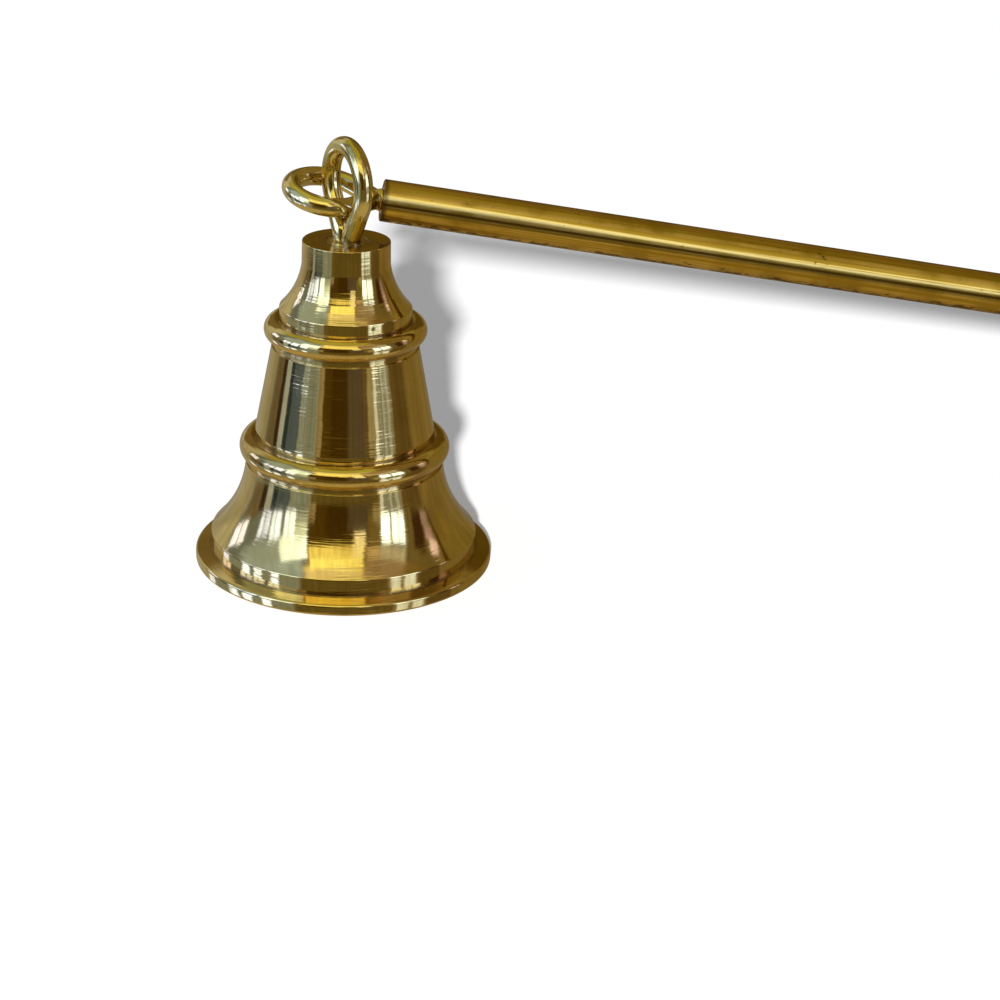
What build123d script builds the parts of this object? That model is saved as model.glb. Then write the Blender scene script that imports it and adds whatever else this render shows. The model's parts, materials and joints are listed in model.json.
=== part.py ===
from build123d import *
import os
from math import asin, atan2, cos, degrees, hypot, radians, sin, sqrt

# Candle snuffer: a turned brass bell that hangs by two linked wire eyes from a straight tube handle.
# Lengths are in millimetres and angles in degrees.
# The bell stands on its rim at the origin, +Z up, and the handle runs along +X and down to the table.

# Bell, heights of its turned bands from the table up
rim_thickness = 1.27
rim_rise = 0.3
skirt_height = 1.93
flare_height = 8.53
lower_fillet_height = 0.55
lower_bead_height = 2.6
cone_seat_height = 0.8
cone_height = 9.95
upper_fillet_height = 0.72
upper_bead_height = 2.35
groove_height = 0.3
shoulder_band_height = 1.2
cove_height = 5.0
neck_height = 2.65

# Bell, radii of the same bands
crown_radius = 4.95
neck_flare = 0.04
shoulder_radius = 7.5
upper_bead_proud = 0.86
cone_top_radius = 8.38
cone_bottom_radius = 10.27
lower_bead_proud = 1.8
flare_top_radius = 11.38
skirt_radius = 15.42
rim_overhang = 1.83
groove_depth = 0.16
upper_fillet_depth = 0.2
lower_fillet_depth = 0.25
upper_crest_share = 0.53
lower_crest_share = 0.55
cove_hollow = 0.46
flare_hollow = 0.85
edge_break = 0.12

# Bell, hollow inside
wall = 1.5
mouth_bevel = 0.5
crown_web = 5.75
roof_radius = 4.3
roof_bulge = 0.35

# Wire of both eyes
wire_diameter = 2.15
running_gap = 0.06
leg_gap = 0.13

# Bell eye: a loop whose two legs are brazed into one round pin, which turns in the crown, and spread inside
bell_loop_inner_radius = 3.03
bell_loop_rise = 6.45
bell_foot_bend = 1.5
bell_foot_lift = 0.1
bell_eye_turn = -67.0
tail_bend = 2.0
tail_spread = 80.0
tail_length = 1.0
pin_braze = 0.06

# Handle eye: a closed loop on one shank, which turns in a plug in the tube's mouth
handle_loop_inner_radius = 2.92
handle_loop_reach = 6.24
handle_foot_bend = 1.3
neck_radius = 1.32
neck_length = 0.95
eye_tilt = 10.0
shank_head_radius = 1.45
shank_head_length = 0.8

# Handle tube, its front plug and its end knob
tube_outer_radius = 2.38
tube_wall = 0.79
tube_length = 245.0
tube_edge_break = 0.15
plug_length = 9.0
braze_gap = 0.02
spigot_length = 9.0
knob_collar_radius = 3.1
knob_collar_length = 1.6
knob_neck_radius = 1.9
knob_neck_length = 1.7
knob_ball_radius = 4.4
knob_tip_flat_radius = 1.0

# Place of the tube's mouth, measured from the middle of the crown
mouth_ahead = 4.08
mouth_behind = 3.0
mouth_above = 3.78

wire_radius = wire_diameter / 2
tube_bore_radius = tube_outer_radius - tube_wall
os.makedirs("parts", exist_ok=True)

# Heights of the bell's edges, summed from the table up
rim_edge = rim_thickness
rim_shoulder = rim_edge + rim_rise
skirt_top = rim_shoulder + skirt_height
flare_top = skirt_top + flare_height
lower_bead_bottom = flare_top + lower_fillet_height
lower_bead_top = lower_bead_bottom + lower_bead_height
cone_bottom = lower_bead_top + cone_seat_height
cone_top = cone_bottom + cone_height
upper_bead_bottom = cone_top + upper_fillet_height
upper_bead_top = upper_bead_bottom + upper_bead_height
band_bottom = upper_bead_top + groove_height
shoulder_edge = band_bottom + shoulder_band_height
cove_top = shoulder_edge + cove_height
bell_height = cove_top + neck_height
roof_height = bell_height - crown_web
leg_offset = wire_radius + leg_gap / 2
pin_radius = leg_offset + wire_radius + pin_braze
crown_hole_radius = pin_radius + running_gap


def half_eye(foot, bend, start, radius, reach):
    """Draws one side of a wire eye, from its foot up to the far point of its loop.

    The foot stands at foot from the middle line. The wire leans out over an arc of radius bend,
    runs straight, and joins the loop, whose centre is at reach on the middle line.
    """
    lean = asin((bend + radius) / hypot(foot + bend, reach - start)) - atan2(foot + bend, reach - start)
    leaving = (foot + bend - bend * cos(lean), start + bend * sin(lean))
    joining = (radius * cos(lean), reach - radius * sin(lean))
    CenterArc((foot + bend, start), bend, 180, -degrees(lean))
    Line(leaving, joining)
    CenterArc((0, reach), radius, -degrees(lean), 90 + degrees(lean))
    return lean


# Bell: one turned shell, outside and inside drawn as one outline and spun about its axis
upper_bead_radius = cone_top_radius + upper_bead_proud
lower_bead_radius = cone_bottom_radius + lower_bead_proud
upper_fillet_radius = cone_top_radius - upper_fillet_depth
lower_fillet_radius = flare_top_radius - lower_fillet_depth
neck_foot_radius = crown_radius + neck_flare
lower_groove_radius = cone_bottom_radius - groove_depth
upper_groove_radius = shoulder_radius - groove_depth
with BuildPart() as snuffer_bell:
    with BuildSketch(Plane.XZ):
        with BuildLine():
            Line((skirt_radius - wall + mouth_bevel, 0), (skirt_radius + rim_overhang, 0))
            Line((skirt_radius + rim_overhang, 0), (skirt_radius + rim_overhang, rim_edge))
            Line((skirt_radius + rim_overhang, rim_edge), (skirt_radius, rim_shoulder))
            Line((skirt_radius, rim_shoulder), (skirt_radius, skirt_top))
            SagittaArc((skirt_radius, skirt_top), (flare_top_radius, flare_top), -flare_hollow)
            Line((flare_top_radius, flare_top), (lower_fillet_radius, flare_top))
            Line((lower_fillet_radius, flare_top), (lower_fillet_radius, lower_bead_bottom))
            ThreePointArc(
                (lower_fillet_radius, lower_bead_bottom),
                (lower_bead_radius, lower_bead_bottom + lower_bead_height * lower_crest_share),
                (cone_bottom_radius, lower_bead_top),
            )
            Line((cone_bottom_radius, lower_bead_top), (lower_groove_radius, lower_bead_top))
            Line((lower_groove_radius, lower_bead_top), (lower_groove_radius, cone_bottom))
            Line((lower_groove_radius, cone_bottom), (cone_bottom_radius, cone_bottom))
            Line((cone_bottom_radius, cone_bottom), (cone_top_radius, cone_top))
            Line((cone_top_radius, cone_top), (upper_fillet_radius, cone_top))
            Line((upper_fillet_radius, cone_top), (upper_fillet_radius, upper_bead_bottom))
            ThreePointArc(
                (upper_fillet_radius, upper_bead_bottom),
                (upper_bead_radius, upper_bead_bottom + upper_bead_height * upper_crest_share),
                (shoulder_radius, upper_bead_top),
            )
            Line((shoulder_radius, upper_bead_top), (upper_groove_radius, upper_bead_top))
            Line((upper_groove_radius, upper_bead_top), (upper_groove_radius, band_bottom))
            Line((upper_groove_radius, band_bottom), (shoulder_radius, band_bottom))
            Line((shoulder_radius, band_bottom), (shoulder_radius, shoulder_edge))
            SagittaArc((shoulder_radius, shoulder_edge), (neck_foot_radius, cove_top), -cove_hollow)
            Line((neck_foot_radius, cove_top), (crown_radius, bell_height - edge_break))
            Line((crown_radius, bell_height - edge_break), (crown_radius - edge_break, bell_height))
            Line((crown_radius - edge_break, bell_height), (crown_hole_radius, bell_height))
            Line((crown_hole_radius, bell_height), (crown_hole_radius, roof_height))
            Line((crown_hole_radius, roof_height), (roof_radius, roof_height))
            SagittaArc((roof_radius, roof_height), (shoulder_radius - wall, band_bottom), roof_bulge)
            Line((shoulder_radius - wall, band_bottom), (cone_top_radius - wall, cone_top))
            Line((cone_top_radius - wall, cone_top), (cone_bottom_radius - wall, cone_bottom))
            Line((cone_bottom_radius - wall, cone_bottom), (flare_top_radius - wall, flare_top))
            SagittaArc((flare_top_radius - wall, flare_top), (skirt_radius - wall, skirt_top), flare_hollow)
            Line((skirt_radius - wall, skirt_top), (skirt_radius - wall, mouth_bevel))
            Line((skirt_radius - wall, mouth_bevel), (skirt_radius - wall + mouth_bevel, 0))
        make_face()
    revolve(axis=Axis.Z)
snuffer_bell.part.label = "snuffer_bell"
export_step(snuffer_bell.part, "parts/snuffer_bell.step")

# Bell eye: half of its wire is drawn in an upright plane through the bell's axis, then mirrored, and
# the pin of braze round its legs fills them up to a round as long as the crown is thick
bell_loop_radius = bell_loop_inner_radius + wire_radius
bell_eye_side = Vector(cos(radians(bell_eye_turn)), sin(radians(bell_eye_turn)), 0)
crown_centre = Vector(0, 0, bell_height)
bell_eye_plane = Plane(origin=crown_centre, x_dir=bell_eye_side, z_dir=bell_eye_side.cross(Vector(0, 0, 1)))
bend_start = -crown_web - running_gap
bend_centre = leg_offset + tail_bend
tail_along = (sin(radians(tail_spread)), -cos(radians(tail_spread)))
tail_start = (bend_centre + tail_bend * tail_along[1], bend_start - tail_bend * tail_along[0])
tail_end = (tail_start[0] + tail_length * tail_along[0], tail_start[1] + tail_length * tail_along[1])
with BuildPart() as bell_eye:
    with BuildLine(bell_eye_plane) as bell_wire:
        Line(tail_end, tail_start)
        CenterArc((bend_centre, bend_start), tail_bend, 180 + tail_spread, -tail_spread)
        Line((leg_offset, bend_start), (leg_offset, bell_foot_lift))
        half_eye(leg_offset, bell_foot_bend, bell_foot_lift, bell_loop_radius, bell_loop_rise)
    with BuildSketch(Plane(origin=bell_wire.line @ 0, z_dir=bell_wire.line % 0)):
        Circle(wire_radius)
    sweep()
    mirror(about=Plane(origin=crown_centre, z_dir=bell_eye_side))
    with BuildSketch(Plane(origin=crown_centre)):
        Circle(pin_radius)
    extrude(amount=-crown_web)
bell_eye.part.label = "bell_eye"
export_step(bell_eye.part, "parts/bell_eye.step")

# Handle line: it slopes down until the ball of the end knob lies on the table
knob_ball_centre = knob_collar_length + knob_neck_length + sqrt(knob_ball_radius**2 - knob_neck_radius**2)
mouth_height = bell_height + mouth_above
droop = asin((mouth_height - knob_ball_radius) / (tube_length + knob_ball_centre))
mouth = Vector(mouth_ahead, mouth_behind, mouth_height)
along = Vector(cos(droop), 0, -sin(droop))
level = Vector(0, -1, 0)
tube_end = mouth + along * tube_length

# Handle tube
with BuildPart() as handle_tube:
    with BuildSketch(Plane(origin=mouth, z_dir=along)):
        Circle(tube_outer_radius)
        Circle(tube_bore_radius, mode=Mode.SUBTRACT)
    extrude(amount=tube_length)
    end_rings = handle_tube.edges().filter_by(GeomType.CIRCLE).group_by(SortBy.RADIUS)[-1]
    chamfer(end_rings, tube_edge_break)
handle_tube.part.label = "handle_tube"
export_step(handle_tube.part, "parts/handle_tube.step")

# Plug brazed into the tube's mouth, bored for the shank of the handle eye
shank_hole_radius = wire_radius + running_gap
with BuildPart() as eye_plug:
    with BuildSketch(Plane(origin=mouth, z_dir=along)):
        Circle(tube_bore_radius - braze_gap)
        Circle(shank_hole_radius, mode=Mode.SUBTRACT)
    extrude(amount=plug_length)
eye_plug.part.label = "eye_plug"
export_step(eye_plug.part, "parts/eye_plug.step")

# Handle eye: shank, loop, and the neck where the wire's end is brazed to the shank
handle_loop_radius = handle_loop_inner_radius + wire_radius
eye_front = level * cos(radians(eye_tilt)) - level.cross(along) * sin(radians(eye_tilt))
eye_plane = Plane(origin=mouth, x_dir=eye_front, z_dir=along.cross(eye_front))
shank_end = -plug_length - running_gap - shank_head_length
with BuildPart() as handle_eye:
    with BuildLine(eye_plane) as front_wire:
        Line((0, shank_end), (0, running_gap))
        lean = half_eye(0, handle_foot_bend, running_gap, handle_loop_radius, handle_loop_reach)
    with BuildSketch(Plane(origin=mouth - along * shank_end, z_dir=-along)):
        Circle(wire_radius)
    sweep()
    with BuildLine(eye_plane) as back_wire:
        CenterArc((0, handle_loop_reach), handle_loop_radius, 90, 90 + degrees(lean))
        Line(
            (-handle_loop_radius * cos(lean), handle_loop_reach - handle_loop_radius * sin(lean)),
            (0, handle_loop_reach - handle_loop_radius / sin(lean)),
        )
    with BuildSketch(Plane(origin=back_wire.line @ 0, z_dir=back_wire.line % 0)):
        Circle(wire_radius)
    sweep()
    with BuildSketch(Plane(origin=mouth - along * running_gap, z_dir=-along)):
        Circle(neck_radius)
    extrude(amount=neck_length, taper=degrees(atan2(neck_radius - wire_radius, neck_length)))
    with BuildSketch(Plane(origin=mouth - along * shank_end, z_dir=-along)):
        Circle(shank_head_radius)
    extrude(amount=shank_head_length)
handle_eye.part.label = "handle_eye"
export_step(handle_eye.part, "parts/handle_eye.step")

# End knob: spigot, half-round collar, hollow neck and ball, turned in one piece
ball_meet = knob_collar_length + knob_neck_length
knob_tip = knob_ball_centre + sqrt(knob_ball_radius**2 - knob_tip_flat_radius**2)
spigot_radius = tube_bore_radius - braze_gap
with BuildPart() as end_knob:
    with BuildSketch(Plane(origin=tube_end, x_dir=along, z_dir=-level)):
        with BuildLine():
            Line((-spigot_length, 0), (-spigot_length, spigot_radius))
            Line((-spigot_length, spigot_radius), (0, spigot_radius))
            Line((0, spigot_radius), (0, tube_outer_radius))
            ThreePointArc(
                (0, tube_outer_radius),
                (knob_collar_length / 2, knob_collar_radius),
                (knob_collar_length, tube_outer_radius),
            )
            RadiusArc(
                (knob_collar_length, tube_outer_radius),
                (ball_meet, knob_neck_radius),
                knob_neck_length,
            )
            ThreePointArc(
                (ball_meet, knob_neck_radius),
                (knob_ball_centre, knob_ball_radius),
                (knob_tip, knob_tip_flat_radius),
            )
            Line((knob_tip, knob_tip_flat_radius), (knob_tip, 0))
            Line((knob_tip, 0), (-spigot_length, 0))
        make_face()
    revolve(axis=Axis(mouth, along))
end_knob.part.label = "end_knob"
export_step(end_knob.part, "parts/end_knob.step")
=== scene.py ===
"""Candle snuffer of polished brass: a turned bell on two linked wire eyes and a straight tube handle.

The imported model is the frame. Every piece is drawn again here as a finer mesh in the same place,
with its own brass, and stands on a pale floor in soft studio light. Sizes in the classes are in
millimetres, and the finished meshes are in metres.
"""

import json
import logging
import math
from collections.abc import Iterable
from dataclasses import dataclass
from enum import Enum
from functools import cached_property

import bmesh
import bpy
from mathutils import Matrix, Vector


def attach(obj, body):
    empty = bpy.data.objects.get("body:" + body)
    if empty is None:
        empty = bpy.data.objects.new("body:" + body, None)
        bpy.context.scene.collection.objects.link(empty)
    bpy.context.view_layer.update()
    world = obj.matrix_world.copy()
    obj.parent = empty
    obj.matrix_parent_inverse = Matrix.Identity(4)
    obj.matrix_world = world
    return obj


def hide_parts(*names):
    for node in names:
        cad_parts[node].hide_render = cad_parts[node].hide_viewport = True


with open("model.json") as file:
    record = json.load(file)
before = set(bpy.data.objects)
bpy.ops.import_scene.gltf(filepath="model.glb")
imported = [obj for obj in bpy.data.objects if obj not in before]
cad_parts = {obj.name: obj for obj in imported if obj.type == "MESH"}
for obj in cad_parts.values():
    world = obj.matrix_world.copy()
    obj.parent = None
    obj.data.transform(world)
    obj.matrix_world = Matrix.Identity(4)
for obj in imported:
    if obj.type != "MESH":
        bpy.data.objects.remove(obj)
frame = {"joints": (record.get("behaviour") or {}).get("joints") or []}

log = logging.getLogger("snuffer")

MM = 0.001
UP = Vector((0, 0, 1))
FRONT = Vector((0, -1, 0))
WHITE = (1.0, 1.0, 1.0)

Colour = tuple[float, float, float]
Solid = bmesh.types.BMesh
Socket = bpy.types.NodeSocket
Node = bpy.types.Node
Material = bpy.types.Material


class Body(Enum):
    """The moving bodies of the snuffer, as the frame names them."""

    HANDLE = "handle"
    HANDLE_EYE = "handle_eye"
    BELL_EYE = "bell_eye"
    BELL = "bell"


class Slot(Enum):
    """The finishes of the snuffer, as the frame names them."""

    TURNED = "turned_brass"
    WIRE = "wire_brass"
    PLUG = "plug_brass"
    TUBE = "tube_brass"
    KNOB = "knob_brass"


@dataclass(frozen=True)
class ScribedLine:
    """A fine line cut round a turned surface.

    Attributes:
        share: Place of the line along its run, from 0 to 1.
        width: Width of the line in millimetres.
        depth: Depth of the line in millimetres.
    """

    share: float
    width: float
    depth: float


class Outline:
    """Half a lathe outline, drawn in the XZ plane with one pen and then turned into a solid.

    Distances are in millimetres: X is the radius and Z, the station, runs along the axis.
    """

    FINEST_TURN = math.radians(8)
    LONGEST_CHORD = 0.5
    FEWEST_CHORDS = 5
    CORNER_CHORDS = 4
    MERGE_DISTANCE = 1e-4

    def __init__(self, radius: float, station: float) -> None:
        """Puts the pen down.

        Args:
            radius: Distance of the first point from the axis.
            station: Place of the first point along the axis.
        """
        self.mesh = bmesh.new()
        self.tip = bmesh.ops.create_vert(self.mesh, co=(radius, 0, station))["vert"][0]
        self.first = self.tip
        self.soft_corners: list[tuple[bmesh.types.BMVert, float]] = []

    def soften(self, amount: float) -> "Outline":
        """Rounds the corner under the pen, starting by that amount before it."""
        self.soft_corners.append((self.tip, amount))
        return self

    def lines(self, *corners: tuple[float, ...]) -> "Outline":
        """Draws straight runs from corner to corner.

        Args:
            corners: Radius and station of each corner, and the amount of its rounding if it has one.

        Returns:
            The outline itself, so that calls can follow each other.
        """
        for radius, station, *rounding in corners:
            self.tip = bmesh.ops.extrude_vert_indiv(self.mesh, verts=[self.tip])["verts"][0]
            self.tip.co = (radius, 0, station)
            for amount in rounding:
                self.soften(amount)
        return self

    def arc(
        self, radius: float, station: float, bulge: float, scribed: ScribedLine | None = None
    ) -> "Outline":
        """Draws a round run to a point.

        Args:
            radius: Distance of the run's end from the axis.
            station: Place of the run's end along the axis.
            bulge: Height of the arc over its chord, positive to the left of the way it runs.
            scribed: A fine line cut into the run.

        Returns:
            The outline itself.
        """
        start, end = self.tip.co.copy(), Vector((radius, 0, station))
        chord = end - start
        left = Vector((-chord.z, 0, chord.x)).normalized()
        signed_radius = (chord.length_squared / 4 + bulge**2) / (2 * bulge)
        centre = (start + end) / 2 + left * (bulge - signed_radius)
        turn = 4 * math.atan(2 * bulge / chord.length)
        if scribed is None:
            return self._swing(centre, turn)
        self._swing(centre, turn * scribed.share)
        before = self.tip.co - centre
        step = scribed.width / 2 / signed_radius
        for count, depth in ((1, scribed.depth), (2, 0)):
            turned = Matrix.Rotation(step * count, 3, (0, 1, 0)) @ before
            there = centre + turned * (1 + depth / signed_radius)
            self.lines((there.x, there.z))
        return self._swing(centre, turn * (1 - scribed.share) - 2 * step)

    def arc_through(self, crest: tuple[float, float], end: tuple[float, float]) -> "Outline":
        """Draws a round run over a crest, as on a bead.

        Args:
            crest: Radius and station of a point on the run.
            end: Radius and station of the run's end.

        Returns:
            The outline itself.
        """
        start = self.tip.co.copy()
        middle, last = (Vector((radius, 0, station)) for radius, station in (crest, end))
        a, b = middle - start, last - start
        normal = a.cross(b)
        across = a.length_squared * b.cross(normal) + b.length_squared * normal.cross(a)
        centre = start + across / (2 * normal.length_squared)
        turn = (start - centre).angle(middle - centre) + (middle - centre).angle(last - centre)
        return self._swing(centre, math.copysign(turn, normal.y))

    def _swing(self, centre: Vector, turn: float) -> "Outline":
        """Swings the pen about a centre.

        Args:
            centre: Centre of the arc.
            turn: Angle in radians about the Y axis.

        Returns:
            The outline itself.
        """
        length = abs(turn) * (self.tip.co - centre).length
        chords = (self.FEWEST_CHORDS, abs(turn) / self.FINEST_TURN, length / self.LONGEST_CHORD)
        made = bmesh.ops.spin(
            self.mesh, geom=[self.tip], cent=centre, axis=(0, 1, 0), angle=turn,
            steps=math.ceil(max(chords)), use_merge=False,
        )
        self.tip = made["geom_last"][0]
        return self

    def close(self) -> "Outline":
        """Joins the pen's last point to its first."""
        self.mesh.edges.new((self.tip, self.first))
        return self

    def turn(self, steps: int) -> Solid:
        """Rounds the soft corners and turns the outline about its axis.

        Args:
            steps: Number of faces round the axis.

        Returns:
            The turned solid, along Z and in millimetres.
        """
        for corner, amount in self.soft_corners:
            bmesh.ops.bevel(
                self.mesh, geom=[corner], offset=amount, offset_type="OFFSET",
                segments=self.CORNER_CHORDS, profile=0.5, affect="VERTICES", material=-1,
            )
        bmesh.ops.spin(
            self.mesh, geom=self.mesh.verts[:] + self.mesh.edges[:], cent=(0, 0, 0), axis=UP,
            angle=2 * math.pi, steps=steps, use_merge=True,
        )
        bmesh.ops.remove_doubles(self.mesh, verts=self.mesh.verts[:], dist=self.MERGE_DISTANCE)
        bmesh.ops.recalc_face_normals(self.mesh, faces=self.mesh.faces[:])
        return self.mesh


class BentWire:
    """A round wire, fed straight and bent in one plane as a bender shapes it, in millimetres."""

    SIDES = 40
    FINEST_TURN = math.radians(5)
    FEWEST_CHORDS = 4
    END_CHORDS = 3

    def __init__(self, start: Vector, heading: Vector, bend_axis: Vector, radius: float) -> None:
        """Cuts the wire's first end.

        Args:
            start: Middle of the wire's first end.
            heading: Way the wire runs there.
            bend_axis: Axis that the bends turn about. Positive bends are right-handed about it.
            radius: Radius of the wire.
        """
        self.place, self.heading, self.axis = start.copy(), heading.normalized(), bend_axis
        self.mesh = bmesh.new()
        turned = self.heading.to_track_quat("Z", "Y").to_matrix().to_4x4()
        bmesh.ops.create_circle(
            self.mesh, cap_ends=False, radius=radius, segments=self.SIDES,
            matrix=Matrix.Translation(start) @ turned,
        )
        self.ring = self.mesh.edges[:]

    def feed(self, length: float) -> "BentWire":
        """Feeds a straight run.

        Args:
            length: Length of the run.

        Returns:
            The wire itself.
        """
        made = bmesh.ops.extrude_edge_only(self.mesh, edges=self.ring)["geom"]
        moved = [part for part in made if isinstance(part, bmesh.types.BMVert)]
        ahead = self.heading * length
        bmesh.ops.translate(self.mesh, verts=moved, vec=ahead)
        edges = [part for part in made if isinstance(part, bmesh.types.BMEdge)]
        self.ring = [edge for edge in edges if set(edge.verts) <= set(moved)]
        self.place += ahead
        return self

    def bend(self, radius: float, angle: float) -> "BentWire":
        """Bends the wire.

        Args:
            radius: Radius of the bend at the middle of the wire.
            angle: Angle of the bend in radians.

        Returns:
            The wire itself.
        """
        centre = self.place + self.axis.cross(self.heading) * math.copysign(radius, angle)
        steps = max(self.FEWEST_CHORDS, math.ceil(abs(angle) / self.FINEST_TURN))
        made = bmesh.ops.spin(
            self.mesh, geom=self.ring, cent=centre, axis=self.axis, angle=angle, steps=steps,
            use_merge=False,
        )
        self.ring = [part for part in made["geom_last"] if isinstance(part, bmesh.types.BMEdge)]
        turn = Matrix.Rotation(angle, 3, self.axis)
        self.place = centre + turn @ (self.place - centre)
        self.heading = turn @ self.heading
        return self

    def cut(self, edge_break: float) -> Solid:
        """Closes both ends and breaks their edges.

        Args:
            edge_break: Size of the rounding at each end.

        Returns:
            The finished wire.
        """
        ends = bmesh.ops.holes_fill(self.mesh, edges=self.mesh.edges[:], sides=0)["faces"]
        bmesh.ops.bevel(
            self.mesh, geom=list({edge for face in ends for edge in face.edges}), offset=edge_break,
            offset_type="OFFSET", segments=self.END_CHORDS, profile=0.5, affect="EDGES", material=-1,
            clamp_overlap=True,
        )
        bmesh.ops.recalc_face_normals(self.mesh, faces=self.mesh.faces[:])
        return self.mesh


@dataclass(frozen=True)
class Loop:
    """The sizes of one wire eye: a loop whose wire leans out from its foot.

    Attributes:
        foot: Distance of the wire's foot from the middle line.
        foot_bend: Radius of the bend at the foot.
        start: Height at which that bend starts.
        radius: Radius of the loop, to the middle of the wire.
        reach: Height of the loop's centre.
    """

    foot: float
    foot_bend: float
    start: float
    radius: float
    reach: float

    @property
    def lean(self) -> float:
        """Angle in radians by which the wire leans out between its foot and the loop."""
        over, rise = self.foot + self.foot_bend, self.reach - self.start
        return math.asin((self.foot_bend + self.radius) / math.hypot(over, rise)) - math.atan2(over, rise)

    @property
    def straight(self) -> float:
        """Length of the straight run between the foot's bend and the loop."""
        bends, lean = self.foot_bend + self.radius, self.lean
        across = self.foot + self.foot_bend - bends * math.cos(lean)
        return math.hypot(across, self.reach - self.start - bends * math.sin(lean))


class Shader:
    """The node tree of a material or the world, with short calls for the nodes that they use."""

    def __init__(self, owner: Material | bpy.types.World) -> None:
        """Starts an empty tree with its output.

        Args:
            owner: The material or world that the tree belongs to.
        """
        owner.use_nodes = True
        self.owner, self.tree = owner, owner.node_tree
        self.tree.nodes.clear()
        self.output = self.node("OutputWorld" if isinstance(owner, bpy.types.World) else "OutputMaterial")

    def node(self, kind: str, **settings: object) -> Node:
        """Adds a node.

        Args:
            kind: Type of the node, without its ShaderNode prefix.
            settings: Properties of the node.

        Returns:
            The node.
        """
        made = self.tree.nodes.new("ShaderNode" + kind)
        for key, value in settings.items():
            setattr(made, key, value)
        return made

    def feed(self, socket: Socket, value: object) -> None:
        """Sets a socket, or links it.

        Args:
            socket: The socket.
            value: A number, a vector, a colour, or another socket to link from.
        """
        if isinstance(value, Socket):
            self.tree.links.new(value, socket)
        else:
            socket.default_value = (*value, 1) if socket.type == "RGBA" else value

    def fill(self, node: Node, values: Iterable[object] | dict[str | int, object]) -> Node:
        """Sets inputs of a node.

        Args:
            node: The node.
            values: What its first inputs get, in their order, or what the ones with these names get.

        Returns:
            The node.
        """
        wanted = values if isinstance(values, dict) else dict(enumerate(values))
        for key, value in wanted.items():
            self.feed(node.inputs[key], value)
        return node

    def show(self, surface: Node) -> None:
        """Makes a node's shader the visible one."""
        self.feed(self.output.inputs["Surface"], surface.outputs[0])

    @cached_property
    def place(self) -> Socket:
        """The point's place on the object, in metres."""
        return self.node("TexCoord").outputs["Object"]

    @cached_property
    def seen(self) -> Socket:
        """1 for rays of the camera and for rays that a mirror or glass sends on."""
        path = self.node("LightPath").outputs
        direct = self.math("MAXIMUM", path["Is Camera Ray"], path["Is Glossy Ray"])
        return self.math("MAXIMUM", direct, path["Is Transmission Ray"])

    def math(self, operation: str, *values: object) -> Socket:
        """Returns the result of a Math node."""
        return self.fill(self.node("Math", operation=operation), values).outputs[0]

    def vector(self, operation: str, *values: object) -> Socket:
        """Returns the vector of a Vector Math node, or its number where it makes one."""
        made = self.fill(self.node("VectorMath", operation=operation), values)
        return made.outputs["Value" if operation in ("LENGTH", "DOT_PRODUCT") else "Vector"]

    def split(self, vector: Socket) -> tuple[Socket, ...]:
        """Returns the X, Y and Z of a vector."""
        return tuple(self.fill(self.node("SeparateXYZ"), (vector,)).outputs)

    def join(self, *values: object) -> Socket:
        """Returns the vector with the given X, Y and Z."""
        return self.fill(self.node("CombineXYZ"), values).outputs[0]

    def noise(self, place: Socket, scale: float, detail: float = 3, roughness: float = 0.55) -> Socket:
        """Adds a noise.

        Args:
            place: Vector that the noise is read at.
            scale: Number of its cells in a metre.
            detail: Number of its finer layers.
            roughness: Strength of the finer layers.

        Returns:
            Its value, about 0.5 on average.
        """
        wanted = {"Vector": place, "Scale": scale, "Detail": detail, "Roughness": roughness}
        return self.fill(self.node("TexNoise"), wanted).outputs[0]

    def ease(self, value: Socket, low: float, high: float, start: float = 0, end: float = 1) -> Socket:
        """Maps a value smoothly from one range to another and holds it there.

        Args:
            value: The value.
            low: Where the change starts.
            high: Where it ends.
            start: Result at low.
            end: Result at high.

        Returns:
            The mapped value.
        """
        made = self.node("MapRange", interpolation_type="SMOOTHSTEP")
        return self.fill(made, (value, low, high, start, end)).outputs[0]

    def mix(self, share: Socket, first: object, second: object) -> Socket:
        """Mixes two colours.

        Args:
            share: Share of the second.
            first: First colour.
            second: Second colour.

        Returns:
            The mixed colour.
        """
        wanted = {0: share, 6: first, 7: second}
        return self.fill(self.node("Mix", data_type="RGBA"), wanted).outputs[2]

    def bump(self, height: Socket, depth: float, below: Socket | None = None) -> Socket:
        """Adds a relief to the surface.

        Args:
            height: Height from 0 to 1.
            depth: Depth of the relief in metres.
            below: Normal of a relief that this one lies on.

        Returns:
            The normal.
        """
        wanted = {"Strength": 1, "Distance": depth, "Height": height}
        if below is not None:
            wanted["Normal"] = below
        return self.fill(self.node("Bump"), wanted).outputs[0]


@dataclass(frozen=True)
class Spot:
    """A dark spot of tarnish or a nick.

    Attributes:
        place: Its middle in millimetres.
        size: Its radius in millimetres.
        strength: How dark it is, from 0 to 1.
    """

    place: tuple[float, float, float]
    size: float
    strength: float = 0.9

    def mask(self, shader: Shader) -> Socket:
        """Returns how much of the spot lies on a point.

        Args:
            shader: The finish's material.

        Returns:
            The mask, ragged at its edge.
        """
        reach = self.size * MM
        middle = tuple(c * MM for c in self.place)
        away = shader.vector("LENGTH", shader.vector("SUBTRACT", shader.place, middle))
        ragged = shader.math("MULTIPLY_ADD", shader.noise(shader.place, 1 / reach), reach, away)
        return shader.ease(ragged, reach, reach * 1.7, self.strength, 0)


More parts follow.
